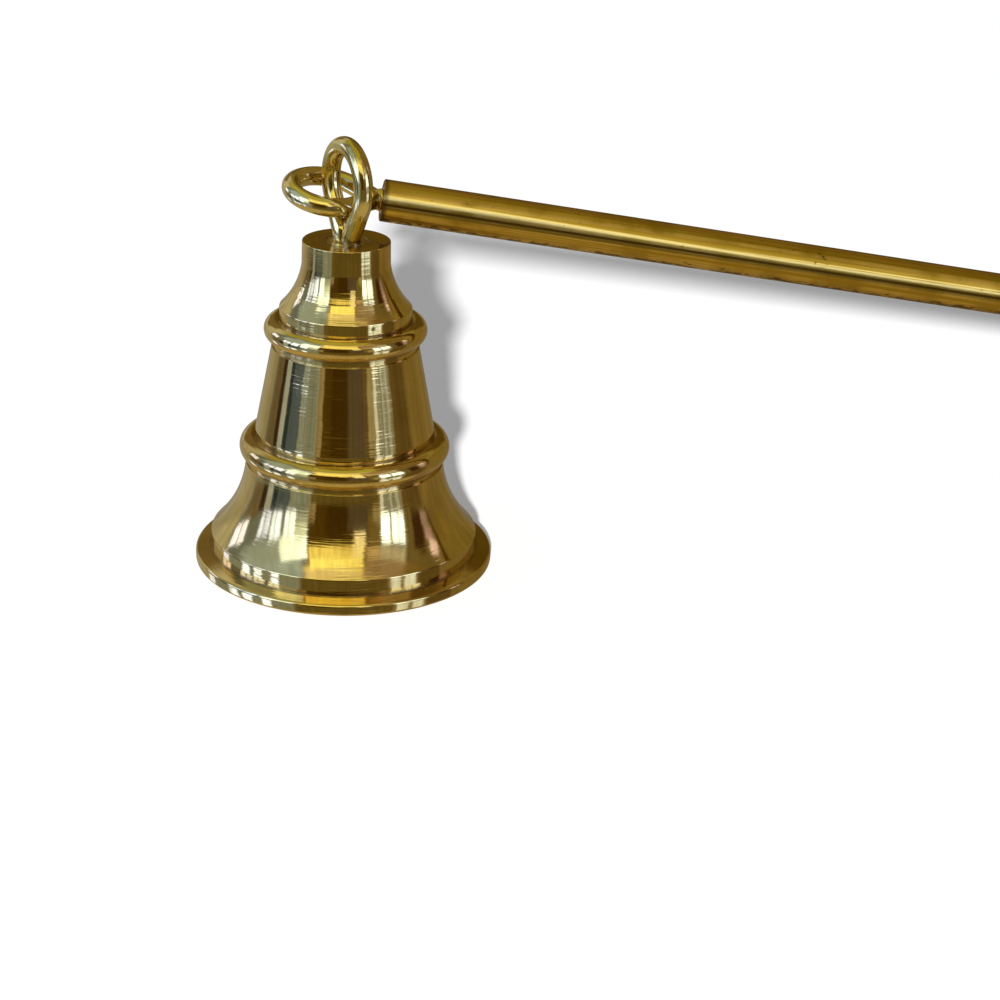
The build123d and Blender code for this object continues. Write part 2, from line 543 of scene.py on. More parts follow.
@dataclass(frozen=True)
class Brass:
    """Polished brass, with what every brass of the snuffer shares.

    Attributes:
        slot: The finish's place in the frame.
        clean: Colour of the freshly polished metal.
        dull: Colour where a thin film has grown.
        stain_and_shade_colour: Colour of the dark tarnish in specks, and of the painted shade in the
            creases of turned brass.
        sheen: Roughness of the polished metal.
        blotch: Size of a dull patch in metres.
        spots: Single spots of tarnish.
    """

    FILM_ROUGHNESS = 0.04
    MARK_ROUGHNESS = 0.03
    STAIN_AND_SHADE_ROUGHNESS = 0.3

    slot: Slot
    clean: Colour
    dull: Colour
    stain_and_shade_colour: Colour = (0.16, 0.085, 0.03)
    sheen: float = 0.1
    blotch: float = 0.006
    spots: tuple[Spot, ...] = ()

    def material(self) -> Material:
        """Builds the material.

        Returns:
            The finished material.
        """
        shader = Shader(bpy.data.materials.new(self.slot.value))
        metal = shader.node("BsdfPrincipled")
        film = shader.ease(shader.noise(shader.place, 1 / self.blotch, detail=4), 0.42, 0.68)
        colour = self.tone(shader, shader.mix(film, self.clean, self.dull))
        # Tarnish specks, and on turned brass the painted shade in its creases, darken the colour.
        stain_and_shade_mask = self.stains_and_shade(shader)
        for spot in self.spots:
            stain_and_shade_mask = shader.math("MAXIMUM", stain_and_shade_mask, spot.mask(shader))
        marks = self.marks(shader)
        rough = shader.math("MULTIPLY_ADD", film, self.FILM_ROUGHNESS, self.sheen)
        rough = shader.math("MULTIPLY_ADD", marks, self.MARK_ROUGHNESS, rough)
        rough = shader.math("MULTIPLY_ADD", stain_and_shade_mask, self.STAIN_AND_SHADE_ROUGHNESS, rough)
        shader.fill(metal, {
            "Metallic": 1, "Base Color": shader.mix(stain_and_shade_mask, colour, self.stain_and_shade_colour), "Roughness": rough,
            "Normal": self.relief(shader, marks),
        })
        self.brush(shader, metal)
        shader.show(metal)
        return shader.owner

    def tone(self, shader: Shader, colour: Socket) -> Socket:
        """Returns the metal's colour with the streaks, and the painted highlight and reflection lines, that
        the piece has.
        """
        return colour

    def stains_and_shade(self, shader: Shader) -> Socket:
        """Returns how dark the tarnish is, in small sparse specks."""
        return shader.ease(shader.noise(shader.place, 900, detail=2), 0.76, 0.86, 0, 0.6)

    def marks(self, shader: Shader) -> Socket:
        """Returns the fine tool marks as a height from 0 to 1."""
        return shader.noise(shader.place, 5000, detail=2)

    def relief(self, shader: Shader, marks: Socket) -> Socket:
        """Returns the normal with the tool marks and a slow unevenness in it."""
        return shader.bump(marks, 8e-7, shader.bump(shader.noise(shader.place, 260, detail=1), 6e-6))

    def brush(self, shader: Shader, metal: Node) -> None:
        """Sets how the polish stretches the reflections, which it doesn't do on plain brass."""


@dataclass(frozen=True)
class TurnedBrass(Brass):
    """Brass turned on a lathe about the Z axis, with fine lines round it.

    Attributes:
        line_pitch: Distance between the fine lines in metres.
        line_depth: Their depth in metres.
        creases: Radius and height in millimetres of the inner corners that get painted shade.
        corner_shade_reach: How far from a crease the painted shade reaches, in metres.
        cut_pitch: Distance between the deeper cuts in metres.
        cut_depth: Their depth in metres.
    """

    line_pitch: float = 0.00011
    line_depth: float = 1.3e-6
    creases: tuple[tuple[float, float], ...] = ()
    corner_shade_reach: float = 0.0004
    cut_pitch: float = 0.00028
    cut_depth: float = 2e-5

    def _radius(self, shader: Shader) -> Socket:
        """Returns the point's distance from the axis."""
        return shader.vector("LENGTH", shader.vector("MULTIPLY", shader.place, (1, 1, 0)))

    def _rings(self, shader: Shader, round_it: float, along: float, detail: float = 1) -> Socket:
        """Adds a noise that is drawn out round the axis.

        Args:
            shader: The finish's material.
            round_it: Number of its cells in a metre round the axis.
            along: Number of its cells in a metre along the turned outline.
            detail: Number of its finer layers.

        Returns:
            Its value.
        """
        x, y, z = shader.split(shader.place)
        station = shader.join(x, y, shader.math("SUBTRACT", z, self._radius(shader)))
        return shader.noise(shader.vector("MULTIPLY", station, (round_it, round_it, along)), 1, detail)

    def marks(self, shader: Shader) -> Socket:
        """Returns the fine lines round the axis, with a few scratches across their height."""
        scratch = shader.ease(self._rings(shader, 110, 0.6 / self.line_pitch), 0.6, 0.72, 0, 0.8)
        return shader.math("SUBTRACT", self._rings(shader, 70, 1 / self.line_pitch, detail=2), scratch)

    def relief(self, shader: Shader, marks: Socket) -> Socket:
        """Adds slow waves, patches of deeper cuts and the fine lines.

        Args:
            shader: The finish's material.
            marks: Height of the fine lines.

        Returns:
            The normal.
        """
        waves = shader.bump(self._rings(shader, 30, 900), 3e-6)
        patchy = shader.ease(shader.noise(shader.place, 240, detail=1), 0.38, 0.62, 0.15, 1)
        cuts = shader.math("MULTIPLY", self._rings(shader, 260, 1 / self.cut_pitch), patchy)
        return shader.bump(marks, self.line_depth, shader.bump(cuts, self.cut_depth, waves))

    def stains_and_shade(self, shader: Shader) -> Socket:
        """Paints shade into the creases, broken up by noise, and lays sparse specks elsewhere.

        Args:
            shader: The finish's material.

        Returns:
            How dark it is.
        """
        radius, height = self._radius(shader), shader.split(shader.place)[2]
        total = shader.ease(shader.noise(shader.place, 1400, detail=2), 0.78, 0.88, 0, 0.6)
        broken = shader.ease(shader.noise(shader.place, 700, detail=3), 0.25, 0.7, 0.35, 1)
        # Painted shade: each inner corner is darkened, broken up by noise, where shade falls in the hollow.
        for crease_radius, crease_height in self.creases:
            aside = shader.math("SUBTRACT", radius, crease_radius * MM)
            above = shader.math("SUBTRACT", height, crease_height * MM)
            away = shader.vector("LENGTH", shader.join(aside, above))
            painted_corner_shade = shader.math("MULTIPLY", shader.ease(away, 0, self.corner_shade_reach, 0.75, 0), broken)
            total = shader.math("MAXIMUM", total, painted_corner_shade)
        return total

    def brush(self, shader: Shader, metal: Node) -> None:
        """Stretches the reflections across the lines, along the axis.

        Args:
            shader: The finish's material.
            metal: Its metal.
        """
        tangent = shader.node("Tangent", direction_type="RADIAL", axis="Z").outputs[0]
        shader.fill(metal, {"Anisotropic": 0.8, "Anisotropic Rotation": 0.25, "Tangent": tangent})


@dataclass(frozen=True)
class DrawnBrass(Brass):
    """Drawn brass tube, with a highlight streak and a dark reflection line painted along one side, and
    tarnished along its underside.

    Attributes:
        along: Way the tube runs.
        mouth: Middle of its mouth in metres.
        painted_highlight: Colour of the painted highlight streak along the tube.
        painted_dark_line: Colour of the painted dark reflection line below that streak.
        flat_depth: How far the polishing has flattened the tube under that streak, in metres.
    """

    along: tuple[float, float, float] = (1, 0, 0)
    mouth: tuple[float, float, float] = (0, 0, 0)
    painted_highlight: Colour = (1.0, 0.73, 0.22)
    painted_dark_line: Colour = (0.12, 0.055, 0.003)
    flat_depth: float = 1.0e-4

    def _stretched(self, shader: Shader, share: float) -> Socket:
        """Shortens the distance along the tube, which draws a noise out along it.

        Args:
            shader: The finish's material.
            share: What is left of that distance.

        Returns:
            The changed place.
        """
        cut_away = shader.math("MULTIPLY", self._from_mouth(shader, self.along), 1 - share)
        scaled = shader.node("VectorMath", operation="SCALE")
        shader.fill(scaled, {0: self.along, "Scale": cut_away})
        from_mouth = shader.vector("SUBTRACT", shader.place, self.mouth)
        return shader.vector("SUBTRACT", from_mouth, scaled.outputs[0])

    def _from_mouth(self, shader: Shader, way: tuple[float, ...]) -> Socket:
        """Returns the point's distance from the tube's mouth, counted one way."""
        return shader.vector("DOT_PRODUCT", shader.vector("SUBTRACT", shader.place, self.mouth), way)

    def _angle(self, shader: Shader) -> Socket:
        """Works out the point's angle round the tube.

        Args:
            shader: The finish's material.

        Returns:
            Degrees, 0 in front and 90 on top.
        """
        axis = Vector(self.along)
        rise = self._from_mouth(shader, tuple((UP - axis * axis.z).normalized()))
        return shader.math("DEGREES", shader.math("ARCTAN2", rise, self._from_mouth(shader, tuple(FRONT))))

    def _beside(self, shader: Shader, middle: object) -> Socket:
        """Returns the angle in degrees between the point and a line along the tube."""
        return shader.math("ABSOLUTE", shader.math("SUBTRACT", self._angle(shader), middle))

    def tone(self, shader: Shader, colour: Socket) -> Socket:
        """Adds long faint streaks, and paints in a highlight streak with a fine highlight line and a dark
        reflection line below it.

        Args:
            shader: The finish's material.
            colour: Colour of the metal.

        Returns:
            The changed colour.
        """
        distance = self._from_mouth(shader, self.along)
        faint = shader.noise(self._stretched(shader, 0.006), 2600, detail=3, roughness=0.6)
        colour = shader.mix(shader.ease(faint, 0.4, 0.6, 1, 0), colour, self.dull)
        # Painted highlight: a bright streak round the upper front, drifting from 23 to 14 degrees and
        # narrowing away from the mouth.
        width = shader.ease(distance, 0.0, 0.05, 9.5, 5.5)
        aside = self._beside(shader, shader.ease(distance, 0.0, 0.062, 23, 14))
        share = shader.math("DIVIDE", shader.math("MULTIPLY_ADD", faint, 3.0, aside), width)
        colour = shader.mix(shader.ease(share, 0.5, 1.15, 1, 0), colour, self.painted_highlight)
        # Painted highlight: a fine bright line at 21.5 degrees, fading in between 35 and 55 mm from the
        # mouth.
        fine = shader.ease(self._beside(shader, 21.5), 0.6, 2.0, 1, 0)
        fine = shader.math("MULTIPLY", fine, shader.ease(distance, 0.035, 0.055))
        colour = shader.mix(fine, colour, self.painted_highlight)
        # Painted reflection: a dark line just below the highlight streak, at 3 to 1 degrees round the tube.
        below = self._beside(shader, shader.ease(distance, 0.0, 0.06, 3, 1))
        return shader.mix(shader.ease(below, 1.5, 5.5, 0.85, 0), colour, self.painted_dark_line)

    def marks(self, shader: Shader) -> Socket:
        """Returns the faint lines along the tube."""
        return shader.noise(self._stretched(shader, 0.02), 4500, detail=2)

    def relief(self, shader: Shader, marks: Socket) -> Socket:
        """Adds the tube's slight flat, a slow unevenness and the faint lines.

        Args:
            shader: The finish's material.
            marks: Height of the faint lines.

        Returns:
            The normal.
        """
        angle, distance = self._angle(shader), self._from_mouth(shader, self.along)
        ridge = shader.math("MULTIPLY", shader.ease(angle, -60, -2), shader.ease(angle, -2, 32, 1, 0))
        flat = shader.math("MULTIPLY", ridge, shader.ease(distance, 0.012, 0.035))
        slow = shader.noise(self._stretched(shader, 0.2), 260, detail=1)
        return shader.bump(marks, 8e-7, shader.bump(slow, 6e-6, shader.bump(flat, self.flat_depth)))

    def brush(self, shader: Shader, metal: Node) -> None:
        """Stretches the reflections along the tube, across the fine scratches of the polish.

        Args:
            shader: The finish's material.
            metal: Its metal.
        """
        turned = shader.node(
            "VectorTransform", vector_type="VECTOR", convert_from="OBJECT", convert_to="WORLD"
        )
        shader.fill(turned, (self.along,))
        shader.fill(metal, {"Anisotropic": 1, "Tangent": turned.outputs[0]})

    def stains_and_shade(self, shader: Shader) -> Socket:
        """Lays specks that merge along the underside and are sparse above, and darkens the mouth's edge.

        Args:
            shader: The finish's material.

        Returns:
            How dark it is.
        """
        low = shader.ease(self._angle(shader), -58, -26, 1, 0)
        specks = shader.noise(self._stretched(shader, 0.45), 1900, detail=3, roughness=0.65)
        clumps = shader.noise(self._stretched(shader, 0.5), 260, detail=2)
        level = shader.math("MULTIPLY_ADD", low, 0.32, shader.math("MULTIPLY_ADD", clumps, 0.5, specks))
        edge = shader.ease(self._from_mouth(shader, self.along), 0.0001, 0.0007, 0.6, 0)
        return shader.math("MAXIMUM", shader.ease(level, 0.96, 1.06, 0, 0.75), edge)


@dataclass(frozen=True)
class Piece:
    """One finished piece of the snuffer: its mesh in metres, its finish and its place in the frame.

    Attributes:
        name: Name of the piece.
        node: Frame node that it stands for.
        body: Body that it moves with.
        finish: Its brass.
    """

    name: str
    node: str
    body: Body
    finish: Brass

    def settle(self, solids: Iterable[Solid], material: Material) -> None:
        """Joins the piece's solids, gives them their finish, hangs them on their body and hides the frame's
        node that they stand for.

        Args:
            solids: Closed meshes in millimetres, in the snuffer's own frame.
            material: The finish's material.
        """
        joined = bmesh.new()
        for solid in solids:
            part = bpy.data.meshes.new("part")
            solid.to_mesh(part)
            solid.free()
            joined.from_mesh(part)
            bpy.data.meshes.remove(part)
        bmesh.ops.scale(joined, vec=(MM, MM, MM), verts=joined.verts[:])
        normals = self._normals(joined)
        made = place_in_scene(self.name, joined, material)
        made.data.normals_split_custom_set_from_vertices(normals)
        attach(made, self.body.value)
        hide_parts(self.node)
        log.info("%s: %d faces, rides on %s", self.name, len(made.data.polygons), self.body.value)

    @staticmethod
    def _normals(mesh: Solid) -> list[Vector]:
        """Weighs each normal by the faces' areas, so that narrow roundings don't bend wide faces.

        Args:
            mesh: The piece's mesh.

        Returns:
            One normal for each vertex.
        """
        for face in mesh.faces:
            face.smooth = True
        return [
            sum((face.normal * face.calc_area() for face in vertex.link_faces), Vector()).normalized()
            for vertex in mesh.verts
        ]


def place_in_scene(name: str, solid: Solid, material: Material) -> bpy.types.Object:
    """Makes an object of a mesh and links it into the scene.

    Args:
        name: Name of the object.
        solid: Its mesh in metres, which is freed.
        material: Its material.

    Returns:
        The object.
    """
    mesh = bpy.data.meshes.new(name)
    solid.to_mesh(mesh)
    solid.free()
    mesh.materials.append(material)
    made = bpy.data.objects.new(name, mesh)
    bpy.context.scene.collection.objects.link(made)
    return made


@dataclass(frozen=True)
class Placement:
    """Where the joints of the frame put the handle.

    Attributes:
        mouth: Middle of the tube's mouth in millimetres.
        along: Way the tube runs from its mouth.
    """

    mouth: Vector
    along: Vector

    @classmethod
    def from_frame(cls) -> "Placement":
        """Reads the tube's mouth and direction from the joint that the handle eye turns in."""
        joint = next(j for j in frame["joints"] if j["name"] == "eye_turn")
        return cls(Vector(joint["pos_m"]) / MM, Vector(joint["axis"]).normalized())

    def lay(self, pen: Outline, steps: int) -> Solid:
        """Turns an outline and lays it along the tube.

        Args:
            pen: The outline, with its stations counted from the tube's mouth.
            steps: Number of faces round it.

        Returns:
            The solid in millimetres.
        """
        solid = pen.turn(steps)
        turned = self.along.to_track_quat("Z", "Y").to_matrix().to_4x4()
        bmesh.ops.transform(solid, matrix=Matrix.Translation(self.mouth) @ turned, verts=solid.verts[:])
        return solid


@dataclass
class Bell:
    """The turned bell: a shell drawn outside and inside as one outline, with heights from the table up."""

    SPOTS = (
        Spot((0, 0, 38.15), 3.4, 0.55),
        Spot((2.66, -7.01, 30.02), 0.26),
        Spot((12.15, -12.20, 1.27), 0.16),
        Spot((1.08, -11.20, 12.76), 0.14),
        Spot((1.86, -11.09, 12.76), 0.14),
    )

    steps: int = 224
    wall: float = 1.5
    mouth_bevel: float = 0.5
    rim_radius: float = 17.25
    rim_edge: float = 1.27
    rim_shoulder: float = 1.57
    skirt_radius: float = 15.42
    skirt_top: float = 3.5
    flare_hollow: float = 0.85
    flare_top_radius: float = 11.38
    flare_top: float = 12.03
    lower_fillet_radius: float = 11.13
    lower_bead_bottom: float = 12.58
    lower_bead_crest: tuple[float, float] = (12.07, 14.01)
    lower_bead_top: float = 15.18
    lower_groove_radius: float = 10.11
    cone_bottom_radius: float = 10.27
    cone_bottom: float = 15.98
    cone_top_radius: float = 8.38
    cone_top: float = 25.93
    upper_fillet_radius: float = 8.18
    upper_bead_bottom: float = 26.65
    upper_bead_crest: tuple[float, float] = (9.24, 27.8955)
    upper_bead_top: float = 29.0
    upper_groove_radius: float = 7.34
    shoulder_radius: float = 7.5
    band_bottom: float = 29.3
    shoulder_edge: float = 30.5
    cove_hollow: float = 0.46
    cove_line: ScribedLine = ScribedLine(0.4, 0.07, 0.03)
    neck_foot_radius: float = 4.99
    cove_top: float = 35.5
    crown_radius: float = 4.95
    height: float = 38.15
    crown_hole_radius: float = 2.335
    crown_web: float = 5.75
    roof_radius: float = 4.3
    roof_bulge: float = 0.35
    rim_round: float = 0.28
    edge_round: float = 0.1
    fine_round: float = 0.05

    def _lower_half(self, pen: Outline) -> None:
        """Draws the outside from the rim to the foot of the cone.

        Args:
            pen: The outline, at the rim's inner edge.
        """
        fine = self.fine_round
        pen.soften(fine).lines(
            (self.rim_radius, 0, self.rim_round),
            (self.rim_radius, self.rim_edge, self.rim_round),
            (self.skirt_radius, self.rim_shoulder, fine),
            (self.skirt_radius, self.skirt_top, self.edge_round),
        )
        pen.arc(self.flare_top_radius, self.flare_top, self.flare_hollow).soften(fine).lines(
            (self.lower_fillet_radius, self.flare_top, fine),
            (self.lower_fillet_radius, self.lower_bead_bottom, fine),
        )
        pen.arc_through(self.lower_bead_crest, (self.cone_bottom_radius, self.lower_bead_top)).lines(
            (self.lower_groove_radius, self.lower_bead_top, fine),
            (self.lower_groove_radius, self.cone_bottom, fine),
            (self.cone_bottom_radius, self.cone_bottom, fine),
        )

    def _upper_half(self, pen: Outline) -> None:
        """Draws the outside from the cone to the hole in the crown.

        Args:
            pen: The outline, at the foot of the cone.
        """
        fine, edge = self.fine_round, self.edge_round
        pen.lines(
            (self.cone_top_radius, self.cone_top, fine),
            (self.upper_fillet_radius, self.cone_top, fine),
            (self.upper_fillet_radius, self.upper_bead_bottom, fine),
        )
        pen.arc_through(self.upper_bead_crest, (self.shoulder_radius, self.upper_bead_top)).lines(
            (self.upper_groove_radius, self.upper_bead_top, fine),
            (self.upper_groove_radius, self.band_bottom, fine),
            (self.shoulder_radius, self.band_bottom, fine),
            (self.shoulder_radius, self.shoulder_edge, edge),
        )
        pen.arc(self.neck_foot_radius, self.cove_top, self.cove_hollow, self.cove_line).lines(
            (self.crown_radius, self.height, edge), (self.crown_hole_radius, self.height, edge)
        )

    def _hollow(self, pen: Outline) -> None:
        """Draws the inside from the hole in the crown down to the mouth.

        Args:
            pen: The outline, at the hole's upper edge.
        """
        roof = self.height - self.crown_web
        pen.lines(
            (self.crown_hole_radius, roof, self.fine_round), (self.roof_radius, roof, self.edge_round)
        )
        pen.arc(self.shoulder_radius - self.wall, self.band_bottom, -self.roof_bulge).lines(
            (self.cone_top_radius - self.wall, self.cone_top),
            (self.cone_bottom_radius - self.wall, self.cone_bottom),
            (self.flare_top_radius - self.wall, self.flare_top),
        )
        pen.arc(self.skirt_radius - self.wall, self.skirt_top, -self.flare_hollow)
        pen.lines((self.skirt_radius - self.wall, self.mouth_bevel, self.edge_round))

    def build(self) -> Solid:
        """Turns the bell.

        Returns:
            The bell in millimetres.
        """
        pen = Outline(self.skirt_radius - self.wall + self.mouth_bevel, 0)
        self._lower_half(pen)
        self._upper_half(pen)
        self._hollow(pen)
        return pen.close().turn(self.steps)

    def finish(self) -> TurnedBrass:
        """Mixes the bell's brass, with painted shade in its inner corners.

        Returns:
            The finish.
        """
        creases = (
            (self.skirt_radius, self.rim_shoulder),
            (self.lower_fillet_radius, self.lower_bead_bottom),
            (self.lower_groove_radius, self.lower_bead_top),
            (self.upper_fillet_radius, self.upper_bead_bottom),
            (self.upper_groove_radius, self.upper_bead_top),
            (self.crown_hole_radius, self.height),
        )
        return TurnedBrass(
            slot=Slot.TURNED, clean=(0.70, 0.535, 0.225), dull=(0.60, 0.44, 0.165), sheen=0.06,
            creases=creases, spots=self.SPOTS,
        )


@dataclass
class Eyes:
    """The two linked wire eyes, which let the bell swing and turn under the handle."""

    wire_radius: float = 1.075
    running_gap: float = 0.06
    leg_gap: float = 0.13
    end_break: float = 0.18
    bell_loop_inner_radius: float = 3.03
    bell_loop_rise: float = 6.45
    bell_foot_bend: float = 1.5
    bell_foot_lift: float = 0.1
    bell_eye_turn: float = -67.0
    tail_bend: float = 2.0
    tail_spread: float = 80.0
    tail_length: float = 1.0
    pin_radius: float = 2.275
    pin_top: float = 0.02
    pin_mound: float = 0.12
    pin_waist: float = 1.1
    pin_bulge: float = 0.05
    pin_foot_round: float = 0.05
    pin_edge_round: float = 0.04
    handle_loop_inner_radius: float = 2.92
    handle_loop_reach: float = 6.24
    handle_foot_bend: float = 1.3
    neck_radius: float = 1.32
    neck_length: float = 0.95
    neck_round: float = 0.12
    neck_point: float = 1.1
    eye_tilt: float = 10.0
    shank_head_radius: float = 1.45
    shank_head_length: float = 0.8
    shank_head_round: float = 0.1
    shank_end_round: float = 0.3
    shank_end_mound: float = 0.02
    foot_stain_height: float = 38.1
    foot_stain_size: float = 1.35
    turned_steps: int = 72

    @property
    def leg(self) -> float:
        """Distance of each leg of the bell's eye from the bell's axis."""
        return self.wire_radius + self.leg_gap / 2

    @property
    def shank_hole_radius(self) -> float:
        """Radius of the hole that the handle eye's shank turns in."""
        return self.wire_radius + self.running_gap

    @property
    def side(self) -> Vector:
        """Way from the bell's axis to one leg of its eye."""
        turn = math.radians(self.bell_eye_turn)
        return Vector((math.cos(turn), math.sin(turn), 0))

    def build_bell_eye(self, bell: Bell) -> list[Solid]:
        """Bends the eye whose two legs go down through the bell's crown, with the braze that joins them.

        Args:
            bell: The bell that carries it.

        Returns:
            The wire and the pin of braze in millimetres.
        """
        side, leg, tail = self.side, self.leg, self.tail_bend
        eye = Loop(
            leg, self.bell_foot_bend, self.bell_foot_lift, self.bell_loop_inner_radius + self.wire_radius,
            self.bell_loop_rise,
        )
        spread = math.radians(self.tail_spread)
        bottom = -bell.crown_web - self.running_gap
        outward = side * math.sin(spread) - UP * math.cos(spread)
        across = leg + tail * (1 - math.cos(spread))
        bend_end = side * across + UP * (bell.height + bottom - tail * math.sin(spread))
        wire = BentWire(bend_end + outward * self.tail_length, -outward, side.cross(UP), self.wire_radius)
        leg_length = self.bell_foot_lift - bottom
        wire.feed(self.tail_length).bend(tail, -spread).feed(leg_length).bend(eye.foot_bend, -eye.lean)
        wire.feed(eye.straight).bend(eye.radius, math.pi + 2 * eye.lean).feed(eye.straight)
        wire.bend(eye.foot_bend, -eye.lean).feed(leg_length).bend(tail, -spread).feed(self.tail_length)
        foot, top = bell.height - bell.crown_web, bell.height + self.pin_mound
        pin = Outline(0, foot).lines(
            (self.pin_radius, foot, self.pin_foot_round),
            (self.pin_radius, bell.height - self.pin_top, self.pin_edge_round),
        )
        pin.arc(self.pin_waist, top, self.pin_bulge).lines((0, top))
        return [wire.cut(self.end_break), pin.turn(self.turned_steps)]

    def build_handle_eye(self, placement: Placement, plug_length: float) -> list[Solid]:
        """Bends the eye that turns in the tube's plug, with the collar that its wire is brazed to.

        Args:
            placement: Where the tube's mouth is.
            plug_length: Length of the plug.

        Returns:
            The wire, the collar and the shank's head in millimetres.
        """
        along, gap = placement.along, self.running_gap
        tilt = math.radians(self.eye_tilt)
        front = FRONT * math.cos(tilt) - FRONT.cross(along) * math.sin(tilt)
        eye = Loop(
            0, self.handle_foot_bend, gap, self.handle_loop_inner_radius + self.wire_radius,
            self.handle_loop_reach,
        )
        behind = plug_length + gap
        shank = behind + self.shank_head_length
        wire = BentWire(placement.mouth + along * shank, -along, along.cross(front), self.wire_radius)
        wire.feed(shank + gap).bend(eye.foot_bend, -eye.lean).feed(eye.straight)
        wire.bend(eye.radius, math.pi + 2 * eye.lean).feed(eye.radius / math.tan(eye.lean))
        collar = Outline(0, -gap).lines(
            (self.neck_radius, -gap, self.neck_round), (self.wire_radius, -gap - self.neck_length),
            (0, -gap - self.neck_length * self.neck_point),
        )
        head = Outline(0, behind).lines(
            (self.shank_head_radius, behind, self.shank_head_round),
            (self.shank_head_radius, shank, self.shank_end_round), (0, shank + self.shank_end_mound),
        )
        turned = [placement.lay(pen, self.turned_steps) for pen in (collar, head)]
        return [wire.cut(self.end_break), *turned]

    def finish(self) -> Brass:
        """Mixes the brass of both eyes, tarnished where the legs enter the crown.

        Returns:
            The finish.
        """
        middle = UP * self.foot_stain_height
        feet = (middle + self.side * self.leg * sign for sign in (-1, 1))
        return Brass(
            slot=Slot.WIRE, clean=(0.74, 0.61, 0.28), dull=(0.56, 0.43, 0.15), sheen=0.11, blotch=0.004,
            spots=tuple(Spot(tuple(foot), self.foot_stain_size) for foot in feet),
        )


@dataclass
class Handle:
    """The tube handle with the plug in its mouth and the knob on its far end."""

    tube_outer_radius: float = 2.38
    bore_radius: float = 1.59
    tube_length: float = 245.0
    tube_edge_break: float = 0.15
    plug_length: float = 9.0
    plug_bore_round: float = 0.08
    plug_face_round: float = 0.05
    plug_end_round: float = 0.1
    braze_gap: float = 0.02
    spigot_length: float = 9.0
    spigot_round: float = 0.2
    knob_collar_radius: float = 3.1
    knob_collar_length: float = 1.6
    knob_neck_radius: float = 1.9
    knob_neck_length: float = 1.7
    knob_ball_radius: float = 4.4
    knob_tip_flat_radius: float = 1.0
    steps: int = 96

    def build_tube(self, placement: Placement) -> Solid:
        """Draws the tube.

        Args:
            placement: Where the tube lies.

        Returns:
            The tube in millimetres.
        """
        edge = self.tube_edge_break
        pen = Outline(self.bore_radius, 0).soften(edge / 2).lines(
            (self.tube_outer_radius, 0, edge), (self.tube_outer_radius, self.tube_length, edge),
            (self.bore_radius, self.tube_length),
        )
        return placement.lay(pen.close(), self.steps)

    def build_plug(self, placement: Placement, hole_radius: float) -> Solid:
        """Turns the plug that is brazed into the tube's mouth.

        Args:
            placement: Where the tube lies.
            hole_radius: Radius of the hole for the shank.

        Returns:
            The plug in millimetres.
        """
        outer = self.bore_radius - self.braze_gap
        pen = Outline(hole_radius, 0).soften(self.plug_bore_round).lines(
            (outer, 0, self.plug_face_round), (outer, self.plug_length, self.plug_end_round),
            (hole_radius, self.plug_length),
        )
        return placement.lay(pen.close(), self.steps)

    def build_knob(self, placement: Placement) -> Solid:
        """Turns the knob: spigot, half-round collar, hollow neck and ball.

        Args:
            placement: Where the tube lies.

        Returns:
            The knob in millimetres.
        """
        end, ball, flat = self.tube_length, self.knob_ball_radius, self.knob_tip_flat_radius
        collar_end = end + self.knob_collar_length
        meet = collar_end + self.knob_neck_length
        centre = meet + math.sqrt(ball**2 - self.knob_neck_radius**2)
        tip = centre + math.sqrt(ball**2 - flat**2)
        spigot, foot = self.bore_radius - self.braze_gap, end - self.spigot_length
        pen = Outline(0, foot).lines(
            (spigot, foot, self.spigot_round), (spigot, end), (self.tube_outer_radius, end)
        )
        crest = (self.knob_collar_radius, end + self.knob_collar_length / 2)
        pen.arc_through(crest, (self.tube_outer_radius, collar_end))
        chord = math.hypot(self.knob_neck_length, self.tube_outer_radius - self.knob_neck_radius)
        hollow = self.knob_neck_length - math.sqrt(self.knob_neck_length**2 - chord**2 / 4)
        pen.arc(self.knob_neck_radius, meet, hollow).arc_through((ball, centre), (flat, tip))
        return placement.lay(pen.soften(self.tube_edge_break).lines((0, tip)), self.steps)

    def tube_finish(self, placement: Placement) -> DrawnBrass:
        """Returns the tube's brass, for a tube that lies in its place."""
        return DrawnBrass(
            slot=Slot.TUBE, clean=(0.72, 0.48, 0.11), dull=(0.44, 0.27, 0.03), sheen=0.32,
            stain_and_shade_colour=(0.12, 0.07, 0.01), along=tuple(placement.along), mouth=tuple(placement.mouth * MM),
        )

    def plug_finish(self) -> Brass:
        """Returns the plug's brass, reddish from the brazing."""
        return Brass(
            slot=Slot.PLUG, clean=(0.62, 0.42, 0.24), dull=(0.42, 0.24, 0.12), sheen=0.25, blotch=0.001
        )

    def knob_finish(self) -> Brass:
        """Returns the knob's brass."""
        return Brass(slot=Slot.KNOB, clean=(0.66, 0.49, 0.18), dull=(0.56, 0.39, 0.12))


@dataclass(frozen=True)
class Patch:
    """One light or dark area of the room that the metal mirrors.

    Attributes:
        left: Azimuth where it starts in degrees from the camera's side, positive towards +X.
        right: Azimuth where it ends.
        low: Its lowest elevation in degrees.
        high: Its highest elevation.
        colour: Its colour.
        blur: Width of its soft edge in degrees.
        strength: Its brightness, where 1 is white.
    """

    left: float
    right: float
    low: float
    high: float
    colour: Colour
    blur: float = 1.0
    strength: float = 1.0


